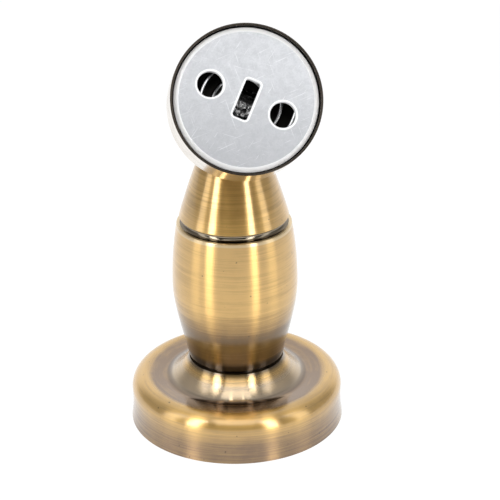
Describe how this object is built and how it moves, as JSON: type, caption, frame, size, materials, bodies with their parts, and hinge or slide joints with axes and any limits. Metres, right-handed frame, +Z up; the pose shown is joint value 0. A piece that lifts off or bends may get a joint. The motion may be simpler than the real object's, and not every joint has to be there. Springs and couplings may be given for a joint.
{
  "type": "magnetic door stop",
  "caption": "Floor-standing magnetic door stop in antique brass, with a round base, a barrel stem, a tilted magnet head and a sprung door catch that pulls off the magnet.",
  "frame": {"origin": "middle of the base's underside, on the stem's axis", "axes": "+Z up along the stem, the magnet head faces -Y and is tilted upwards, +X to the right seen from the front"},
  "size_m": [0.05, 0.0592, 0.1031],
  "materials": {
    "antique_brass": "turned and brushed antique brass under clear lacquer",
    "dark_bronze": "dark polished bronze",
    "cast_zinc": "as cast",
    "zinc_steel": "zinc plated",
    "zinc_plate": "zinc plated, finely scratched",
    "spring_steel": "oiled spring steel",
    "polished_nickel": "mirror polished",
    "magnet_nickel": "nickel plated",
    "black_plastic": "moulded",
    "black_rubber": "moulded"
  },
  "bodies": {
    "post": {"base_cover": "antique_brass", "mounting_base": "cast_zinc", "floor_bolt": "zinc_steel", "lower_barrel": "antique_brass", "trim_ring": "dark_bronze", "upper_barrel": "antique_brass", "tie_stud": "zinc_steel", "magnet_head": "antique_brass", "magnet_holder": "black_plastic", "pole_pot": "zinc_steel", "magnet": "magnet_nickel", "magnet_screw": "zinc_steel", "buffer_ring": "black_rubber"},
    "catch": {"catch_cup": "polished_nickel", "catch_rivet": "zinc_steel", "catch_spring": "spring_steel"},
    "plate": {"catch_plate": "zinc_plate"}
  },
  "joints": [
    {"name": "catch_release", "type": "slide", "parent": "post", "child": "catch", "axis": [0, -0.8746, 0.4848], "range_m": [0, 0.03]},
    {"name": "plate_press", "type": "slide", "parent": "catch", "child": "plate", "axis": [0, 0.8746, -0.4848], "range_m": [0, 0.003], "stiffness_N_per_m": 800, "deforming": ["catch_spring"]}
  ]
}
